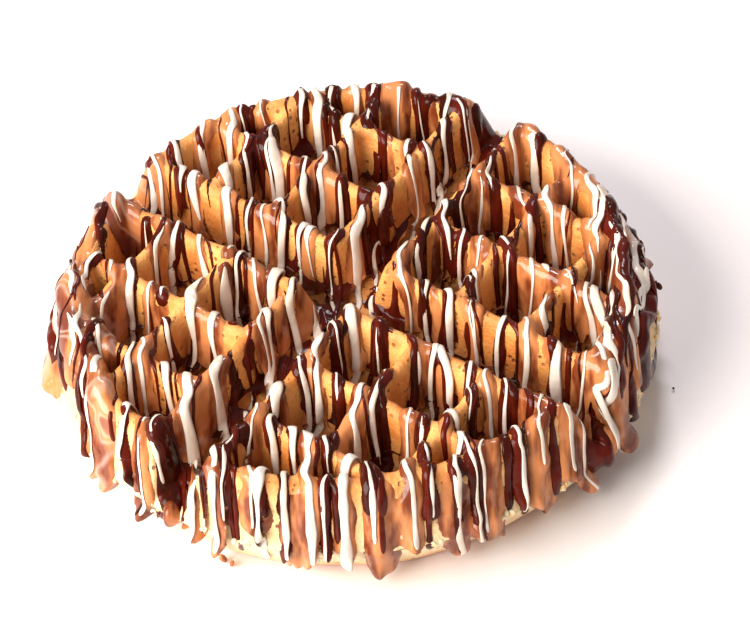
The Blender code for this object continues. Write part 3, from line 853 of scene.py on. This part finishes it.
def strand_guides(iron, draw, across, width, runs, drips):
    """Guide points of one strand, run by run: place, aim and width.

    runs are the shares of the strand that are drawn, from -1 at the front
    rim to 1 at the back. drips are the heights where its two ends stop.
    """
    phases = [draw.uniform(0, math.tau) for _ in range(6)]

    def waves(along, rows, starts):
        """Sum of the waves at a place along the strand."""
        return sum(
            height * math.sin(along / wave * math.tau + start)
            for (wave, height), start in zip(rows, starts)
        )

    def sway(along):
        return waves(along, SWAY_WAVES, phases[:3]) * MM

    def girth(along):
        return width * (1.0 + waves(along, GIRTH_WAVES, phases[3:]))

    def wall_run(end, height, stop, step):
        """Points on the side wall from one height to another."""
        rim = across + sway(end * reach)
        while (stop - height) * step > 0:
            points.append((wall_point(iron, rim, height, end), height, girth(height)))
            height += step

    beside = abs(across) > iron.top_radius - RIM_SPARE
    edge = iron.seam_radius if beside else iron.top_radius
    reach = math.sqrt(max((edge - RIM_START) ** 2 - across ** 2, 0.0))
    wall_top = iron.height - RIM_DROP
    found = []
    for start, stop in runs:
        points = []
        if start <= -1.0 and not beside:
            wall_run(-1.0, drips[0], wall_top, SIDE_STEP)
        along = max(start, -1.0) * reach
        while along <= min(stop, 1.0) * reach:
            x, y = in_plan(across + sway(along), along)
            points.append((Vector((x, y, 0.0)), None, girth(along)))
            along += TOP_STEP
        if stop >= 1.0 and not beside:
            wall_run(1.0, wall_top, drips[1], -SIDE_STEP)
        guide = []
        for index, (touch, height, wide) in enumerate(points):
            for steps, drip in ((index, start <= -1.0), (len(points) - 1 - index, stop >= 1.0)):
                if drip and not beside:
                    wide *= 1.0 + DRIP_SWELL * math.exp(-((steps * SIDE_STEP / DRIP_LENGTH) ** 2))
                else:
                    wide *= min(1.0, TAIL_END + steps * TOP_STEP / TAIL_LENGTH)
            if height is None:
                aim = Vector((0.0, 0.0, -1.0))
                source = Vector((touch.x, touch.y, RAY_TOP)) + CENTRE
            else:
                aim = Vector((-touch.x, -touch.y, 0.0)).normalized()
                source = touch - aim * (RAY - RAY_SPARE) + CENTRE
            guide.append((source, aim, wide))
        if len(guide) > 4:
            found.append(guide)
    return found


def broken_runs(draw, longest, shortest, gap):
    """Shares of a strand that are drawn, with bare gaps between them."""
    runs = []
    start = -1.0
    while start < 1.0:
        stop = start + draw.uniform(shortest, longest)
        runs.append((start, min(stop, 1.0)))
        start = stop + draw.uniform(0.3, 1.0) * gap
    return runs


def drizzle_guides(iron, seed, count, width, beside, strands):
    """Guides of all strands of one chocolate, side by side."""
    least, most, longest, shortest, gap, lowest, highest = strands
    draw = random.Random(seed)
    guides = []
    reach = iron.top_radius - 3 * MM
    step = 2 * reach / count
    rows = [
        -reach + (row + 0.5 + draw.uniform(-ROW_JITTER, ROW_JITTER)) * step for row in range(count)
    ]
    rows += [across * MM for across in beside]
    for across in rows:
        wide = least * width + (most * width - least * width) * draw.random() ** THIN_ONES
        drips = [lowest + (highest - lowest) * draw.random() ** SHORT_DRIPS for _ in range(2)]
        runs = broken_runs(draw, longest, shortest, gap)
        kind = DARK if draw.random() < DARK_SHARE else MILK
        found = strand_guides(iron, draw, across, wide, runs, drips)
        guides += [(guide, kind) for guide in found]
    return guides


def new_material(name):
    """A material, what adds nodes to it, its shader and its own coordinates."""
    material = bpy.data.materials.new(name)
    material.use_nodes = True
    add = partial(add_node, material.node_tree)
    shader = material.node_tree.nodes["Principled BSDF"]
    return material, add, shader, add("ShaderNodeTexCoord").outputs["Object"]


def paint(add, colour, layers):
    """Lay tones over a colour, each with its share at every point."""
    colour = linear(colour)
    for share, tone in layers:
        mixed = add(MIX, {0: share, 6: colour, 7: linear(tone)}, data_type="RGBA")
        colour = mixed.outputs[2]
    return colour


def crust_material():
    """Baked yeast dough: matt golden skin. Down in the pockets it is darker, partly
    browner where the iron pressed hardest and partly painted shade. The side wall
    and the seam are paler, partly paler dough and partly painted light. The
    pinholes of burst bubbles are darkened with painted shade."""
    material, add, shader, place = new_material("baked_waffle_crust")
    broad, patchy, grain = [
        add(NOISE, {"Vector": place, "Scale": 1 / size, "Detail": detail})
        for size, detail in CRUST_CLOUDS
    ]
    browned = add(RANGE, (broad, 0.38, 0.66, 0.0, 1.0), **SMOOTH)
    # Darker down in the pockets: partly browning where the iron pressed hardest, partly painted shade in
    # the hollows
    depth = add("ShaderNodeAttribute", attribute_name="pocket_depth", attribute_type="GEOMETRY")
    deep = add(RANGE, (depth.outputs["Fac"], 0.3, 1.0, 0.0, 0.55))

    # The side wall, from where the rim turns down, is painted paler: partly paler dough, partly painted
    # light
    outward = add(VECTOR, (from_middle(add, place),), "LENGTH").outputs["Value"]
    side = add(RANGE, (outward, *SIDE_SPAN, 0.0, 0.9), **SMOOTH)

    # Pinholes stand in clouds, and their dark tint is painted shade inside the holes
    cells = add(VORONOI, {"Vector": place, "Scale": 1 / PINHOLE_CELL, "Randomness": 1.0})
    hole = add(RANGE, (cells.outputs["Distance"], 0.12, 0.27, 1.0, 0.0), **SMOOTH)
    patchy = add(RANGE, (patchy, 0.42, 0.58, 0.0, 1.0))
    hole = add(MATH, (hole, patchy), "MULTIPLY")
    pinhole_shade = add(MATH, (hole, PINHOLE_SHADE), "MULTIPLY")

    # The pale belt at the seam fades towards the table: under-baked dough, painted paler still as painted
    # light
    height = add(SPLIT, (place,)).outputs[2]
    low = add(RANGE, (height, *BELT_TOP, 0.0, 1.0), **SMOOTH)
    foot = add(RANGE, (height, *BELT_FOOT, 0.35, 0.95), **SMOOTH)
    pale = add(MATH, (low, foot), "MULTIPLY")
    pale = add(MATH, (pale, side), "MULTIPLY")
    layers = (
        (browned, "#D27C33"), (deep, "#A9622A"), (side, "#F9D196"), (pinhole_shade, "#7A3A14"), (pale, "#FDE6BC")
    )
    relief = add(MATH, (hole, PINHOLE_DEPTH, grain), "MULTIPLY_ADD")
    fill(shader, {
        "Base Color": paint(add, "#F0A95C", layers),
        "Normal": add(BUMP, {"Height": relief, "Strength": 0.8, "Distance": 0.6 * MM}),
        "Roughness": add(RANGE, (grain, *NOISE_SPAN, 0.45, 0.68)),
        "Subsurface Weight": 0.12,
        "Subsurface Scale": LIGHT_DEPTH,
        "Subsurface Radius": (1.0, 0.5, 0.2),
    })
    return material


def crumb_material():
    """The soft inside of the dough, where it tore: pale, matt and porous."""
    material, add, shader, place = new_material("torn_waffle_crumb")
    cloud = add(NOISE, {"Vector": place, "Scale": 1 / CRUMB_CLOUD, "Detail": 3.0})
    share = add(RANGE, (cloud, 0.4, 0.64, 0.0, 1.0))
    fill(shader, {
        "Base Color": paint(add, "#FBEBC6", ((share, "#EBBE7C"),)),
        "Normal": add(BUMP, {"Height": cloud, "Strength": 0.7, "Distance": 0.5 * MM}),
        "Roughness": 0.8,
        "Subsurface Weight": 0.2,
        "Subsurface Scale": LIGHT_DEPTH,
    })
    return material


def chocolate_material(kind, light, deep, streak, gloss, marbling=()):
    """Melted chocolate, still wet: a smooth, mirror-like film with streaks
    where it ran, and a soft ripple that breaks up its highlights. The sheet
    at the left rim can be marbled with a darker and a paler tone."""
    material, add, shader, place = new_material(f"melted_{kind}_chocolate")
    turned = add(ROTATE, {"Vector": place, "Angle": DRIZZLE_ANGLE}, **ABOUT_Z)
    drawn = add(VECTOR, (turned, [1 / size for size in STREAK_SIZES]), "MULTIPLY")
    veins = add(NOISE, {"Vector": drawn, "Scale": 1.0, "Detail": 3.0})
    layers = [
        (add(RANGE, (veins, 0.4, 0.62, 0.0, 1.0), **SMOOTH), deep),
        (add(RANGE, (veins, 0.66, 0.8, 0.0, 0.6), **SMOOTH), streak),
    ]
    if marbling:
        dark_tone, pale_tone = marbling
        rim = add(RANGE, (add(SPLIT, (turned,)), *MARBLE_SPAN, 0.0, 1.0), **SMOOTH)
        swirls = {"Vector": turned, "Scale": 1 / MARBLE_SIZE, "Detail": 0.5, "Distortion": 1.1}
        swirl = add(NOISE, swirls)
        patch = add(RANGE, (swirl, 0.48, 0.6, 0.0, 0.85), **SMOOTH)
        layers.append((add(MATH, (patch, rim), "MULTIPLY"), dark_tone))
        for contour in MARBLE_LINES:
            near = add(MATH, (swirl, contour), "SUBTRACT")
            near = add(MATH, (near,), "ABSOLUTE")
            vein = add(RANGE, (near, 0.0, 0.03, 0.5, 0.0))
            layers.append((add(MATH, (vein, rim), "MULTIPLY"), pale_tone))
    ripple = add(NOISE, {"Vector": place, "Scale": 1 / RIPPLE_SIZE, "Detail": 1.5})
    fill(shader, {
        "Base Color": paint(add, light, layers),
        "Normal": add(BUMP, {"Height": ripple, "Strength": 0.5, "Distance": RIPPLE_HEIGHT}),
        "Roughness": add(RANGE, (ripple, *NOISE_SPAN, 0.12, 0.24)),
        "IOR": MELTED_IOR,
        "Specular IOR Level": gloss,
    })
    return material


def length_of(name, text, size):
    """A length property, its default given in millimetres."""
    return bpy.props.FloatProperty(name=label_of(name), description=text, default=size * MM, unit="LENGTH")


def angle_of(name, text, degrees):
    """An angle property, its default given in degrees."""
    return bpy.props.FloatProperty(
        name=label_of(name), description=text, default=math.radians(degrees), subtype="ANGLE"
    )


class WaffleIron(bpy.types.PropertyGroup):
    """Sizes of the iron, and so of the waffle."""

    __annotations__ = {
        **{name: length_of(name, text, size) for name, text, size in IRON_SIZES},
        "wall_angle": angle_of("wall_angle", "Slope of the pocket walls from upright", 11.0),
        "mesh_cell": length_of("mesh_cell", "Spacing of the mesh", 0.9),
    }


class WaffleDrizzle(bpy.types.PropertyGroup):
    """How much of each chocolate lies on the waffle."""

    white_lines: bpy.props.IntProperty(
        name="White lines", description="Strands of white chocolate", default=26, min=1
    )
    white_width: length_of("white_width", "Width of a line", 2.15)
    dark_lines: bpy.props.IntProperty(
        name="Dark lines", description="Strands of dark chocolate", default=20, min=1
    )
    dark_width: length_of("dark_width", "Width of a line", 2.4)
    milk_cover: bpy.props.FloatProperty(
        name="Milk cover", description="Share under milk chocolate", default=0.43, min=0, max=1
    )
    dark_cover: bpy.props.FloatProperty(
        name="Dark cover", description="Share under dark chocolate", default=0.345, min=0, max=1
    )
    seed: bpy.props.IntProperty(name="Seed", description="Another fall of the drizzle", default=4)


class WaffleStudio(bpy.types.PropertyGroup):
    """The camera that looks at the waffle."""

    elevation: angle_of("elevation", "Above the table", 47.2)
    azimuth: angle_of("azimuth", "Round the waffle", 37.9)
    roll: angle_of("roll", "Tilt of the frame", -4.5)
    distance: length_of("distance", "Camera to waffle", 705.5)
    lens: bpy.props.FloatProperty(name="Lens", description="Focal length in millimetres", default=118.08)


def bake(iron, name, cell, flash, material):
    """The waffle's surface as an object, on a mesh of the given spacing."""
    side = 2 * (RIM_INSIDE + (iron.seam_radius + RIM_SPARE - RIM_INSIDE) * RIM_PACKING)
    values = {label_of(key): getattr(iron, key) for key, _, _ in IRON_SIZES}
    values["Flash width"] *= flash
    values["Wall slope"] = math.tan(iron.wall_angle)
    values.update({"Side": side, "Points": round(side / cell) + 1, "Crust": material})
    return grow(new_object(name), crust_tree(), values)


class WAFFLE_OT_crust(bpy.types.Operator):
    """Bake the waffle itself"""

    bl_idname = "waffle.crust"
    bl_label = "Waffle"

    def execute(self, context):
        iron = context.scene.waffle_iron
        crust = bake(iron, "waffle_crust", iron.mesh_cell, 1.0, crust_material())
        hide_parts(NODE)
        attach(crust, BODY)
        return {"FINISHED"}


def white_guides(context):
    """Guides of the white strands, which the other chocolates follow too."""
    iron, drizzle = context.scene.waffle_iron, context.scene.waffle_drizzle
    rows = (drizzle.white_lines, drizzle.white_width, WHITE_BESIDE, WHITE_STRANDS)
    return drizzle_guides(iron, drizzle.seed, *rows)


def lay_ground(context):
    """The surface that the chocolate runs over, and the white strands' way.

    Both are helpers, made for the first coat. The white chocolate's operator
    removes them.
    """
    ground = bpy.data.objects.get("drizzle_ground")
    if ground is None:
        ground = bake(context.scene.waffle_iron, "drizzle_ground", GROUND_CELL, 0.0, None)
        paths = new_object("drizzle_paths", guide_mesh("drizzle_paths", white_guides(context)))
        grow(paths, path_tree(), {"Ground": ground})
    return ground, bpy.data.objects["drizzle_paths"]


def add_coat(context, slot, patches, material, sizes, values):
    """One chocolate's bands, pools and sheets."""
    iron = context.scene.waffle_iron
    ground, paths = lay_ground(context)
    name = slot + "_coat"
    coat = new_object(name)
    values = {
        **{field: size * MM for field, size in zip(COAT_FIELDS, sizes)},
        "Surface": ground,
        "Paths": paths,
        "Direction": DRIZZLE_ANGLE,
        "Seam height": iron.seam_height,
        "Seam radius": iron.seam_radius,
        "Floor": iron.height - iron.upper_depth,
        "Chocolate": material,
        **values,
    }
    grow(coat, coat_tree(name, patches), values)
    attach(coat, BODY)


def add_lines(slot, guides, material, lift, flatness):
    """One chocolate's thin lines."""
    name = slot + "_lines"
    lines = new_object(name, guide_mesh(name, guides))
    values = {
        "Ground": bpy.data.objects["drizzle_ground"],
        "First coat": bpy.data.objects["milk_chocolate_coat"],
        "Second coat": bpy.data.objects["dark_chocolate_coat"],
        "Lift": lift,
        "Step": LINE_STEP,
        "Flatness": flatness,
        "Chocolate": material,
    }
    grow(lines, line_tree(), values)
    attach(lines, BODY)


class WAFFLE_OT_milk(bpy.types.Operator):
    """Pour the milk chocolate in broad bands"""

    bl_idname = "waffle.milk"
    bl_label = "Milk chocolate"

    def execute(self, context):
        drizzle = context.scene.waffle_drizzle
        material = chocolate_material("milk", *CHOCOLATES["milk"])
        values = {"Kind": MILK, "Cover": drizzle.milk_cover, "Seed": MILK_SEED + drizzle.seed}
        add_coat(context, "milk_chocolate", MILK_PATCHES, material, MILK_COAT, values)
        return {"FINISHED"}


class WAFFLE_OT_dark(bpy.types.Operator):
    """Pour the dark chocolate in bands, pools and thin lines"""

    bl_idname = "waffle.dark"
    bl_label = "Dark chocolate"

    def execute(self, context):
        iron, drizzle = context.scene.waffle_iron, context.scene.waffle_drizzle
        material = chocolate_material("dark", *CHOCOLATES["dark"])
        values = {"Kind": DARK, "Cover": drizzle.dark_cover, "Seed": DARK_SEED + drizzle.seed}
        add_coat(context, "dark_chocolate", DARK_PATCHES, material, DARK_COAT, values)
        rows = (drizzle.dark_lines, drizzle.dark_width, DARK_BESIDE, DARK_STRANDS)
        guides = drizzle_guides(iron, drizzle.seed + 1, *rows)
        add_lines("dark_chocolate", guides, material, *DARK_SECTION)
        return {"FINISHED"}


class WAFFLE_OT_white(bpy.types.Operator):
    """Pipe the white chocolate in thin lines over the rest"""

    bl_idname = "waffle.white"
    bl_label = "White chocolate"

    def execute(self, context):
        material = chocolate_material("white", *CHOCOLATES["white"])
        add_lines("white_chocolate", white_guides(context), material, *WHITE_SECTION)
        for name in ("drizzle_ground", "drizzle_paths"):
            bpy.data.objects.remove(bpy.data.objects[name])
        return {"FINISHED"}


class WAFFLE_OT_crumbs(bpy.types.Operator):
    """Tear crumbs out of the seam, and let a few drops fall"""

    bl_idname = "waffle.crumbs"
    bl_label = "Crumbs and drops"

    def execute(self, context):
        spots = seam_spots(context.scene.waffle_iron, context.scene.waffle_drizzle.seed)
        rows = [("seam_crumbs", spots, crumb_material(), "crust", 1.1 * MM)]
        for kind, tone in ((MILK, "milk"), (DARK, "dark")):
            found = [
                (Vector((x, y, z)) * MM, 2 * radius * MM)
                for x, y, z, radius, own in DROPS
                if own == kind
            ]
            material = bpy.data.materials[f"melted_{tone}_chocolate"]
            name = f"{tone}_chocolate_drops"
            rows.append((name, found, material, f"{tone}_chocolate", 0.3 * MM))
        for name, found, material, slot, rough in rows:
            places, widths = zip(*found)
            lumps = new_object(name, point_mesh(name, places, [], width=widths))
            values = {"Roughness": rough, "Grain": 1 / CRUMB_GRAIN, "Crumb": material}
            grow(lumps, crumb_tree(), values)
            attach(lumps, BODY)
        return {"FINISHED"}


class WAFFLE_OT_studio(bpy.types.Operator):
    """Set up the floor, the lights and the camera"""

    bl_idname = "waffle.studio"
    bl_label = "Studio"

    def execute(self, context):
        add_floor()
        for row in LIGHTS:
            add_light(*row)
        world = bpy.data.worlds.new("pale_room")
        world.use_nodes = True
        sky = world.node_tree.nodes["Background"]
        fill(sky, {"Color": linear("#F6F2F2"), "Strength": ROOM_LIGHT})
        context.scene.world = world
        context.scene.view_settings.view_transform = "Standard"
        aim_camera(context)
        return {"FINISHED"}


def add_floor():
    """A table top of pale laminate, far wider than the view: pressed smooth,
    so it has a faint cloudy tone and a soft, dull shine."""
    mesh = bpy.data.meshes.new("floor")
    half = FLOOR_SIZE / 2
    corners = ((-half, -half), (half, -half), (half, half), (-half, half))
    mesh.from_pydata([(x, y, FLOOR_DROP) for x, y in corners], [], [(0, 1, 2, 3)])
    floor = new_object("floor", mesh)
    material, add, shader, place = new_material("pale_laminate")
    cloud = add(NOISE, {"Vector": place, "Scale": 1 / CLOUD_SIZE})
    colour = paint(add, "#F2EBE8", ((cloud, "#EFE8E5"),))
    fill(shader, {"Base Color": colour, "Roughness": 0.4})
    mesh.materials.append(material)


def add_light(name, place, size, power, colour):
    """A soft rectangular lamp that faces the waffle."""
    lamp = bpy.data.lights.new(name, "AREA")
    lamp.shape = "RECTANGLE"
    lamp.size, lamp.size_y = size
    lamp.energy = power
    lamp.color = linear(colour)[:3]
    item = new_object(name, lamp)
    item.location = place
    item.rotation_euler = (-Vector(place)).to_track_quat("-Z", "Y").to_euler()


def aim_camera(context):
    """Put the camera where the photograph was taken from."""
    studio = context.scene.waffle_studio
    cos, sin = math.cos(studio.azimuth), math.sin(studio.azimuth)
    forward = Vector((-sin, cos, 0.0))
    right = Vector((cos, sin, 0.0))
    look = forward * math.cos(studio.elevation) - Vector((0, 0, math.sin(studio.elevation)))
    up = right.cross(look)
    tilt = math.cos(studio.roll), math.sin(studio.roll)
    side = right * tilt[0] + up * tilt[1]
    top = up * tilt[0] - right * tilt[1]
    camera = new_object("camera", bpy.data.cameras.new("camera"))
    camera.data.lens = studio.lens
    camera.data.sensor_width = SENSOR_WIDTH
    turn = Matrix((side, top, -look)).transposed().to_4x4()
    camera.matrix_world = Matrix.Translation(TARGET - look * studio.distance) @ turn
    context.scene.camera = camera


class WAFFLE_PT_maker(bpy.types.Panel):
    """Everything that makes the waffle, in order"""

    bl_label = "Drizzled waffle"
    bl_idname = "WAFFLE_PT_maker"
    bl_space_type = "VIEW_3D"
    bl_region_type = "UI"
    bl_category = "Waffle"

    def draw(self, context):
        layout = self.layout
        for name, kind in GROUPS.items():
            column = layout.column(align=True)
            for row in kind.__annotations__:
                column.prop(getattr(context.scene, name), row)
        for maker in MAKERS:
            layout.operator(maker.bl_idname)


GROUPS = {
    "waffle_iron": WaffleIron, "waffle_drizzle": WaffleDrizzle, "waffle_studio": WaffleStudio
}
MAKERS = (
    WAFFLE_OT_crust,
    WAFFLE_OT_milk,
    WAFFLE_OT_dark,
    WAFFLE_OT_white,
    WAFFLE_OT_crumbs,
    WAFFLE_OT_studio,
)
CLASSES = (*GROUPS.values(), *MAKERS, WAFFLE_PT_maker)


def register():
    """Add the classes, and a group of each kind to the scene."""
    for item in CLASSES:
        bpy.utils.register_class(item)
    for name, kind in GROUPS.items():
        setattr(bpy.types.Scene, name, bpy.props.PointerProperty(type=kind))


def unregister():
    """Take the groups and the classes away again."""
    for name in GROUPS:
        delattr(bpy.types.Scene, name)
    for item in reversed(CLASSES):
        bpy.utils.unregister_class(item)


def main():
    """Make every piece and the stage."""
    register()
    bpy.ops.waffle.crust()
    bpy.ops.waffle.milk()
    bpy.ops.waffle.dark()
    bpy.ops.waffle.white()
    bpy.ops.waffle.crumbs()
    bpy.ops.waffle.studio()


if __name__ == "__main__":
    main()
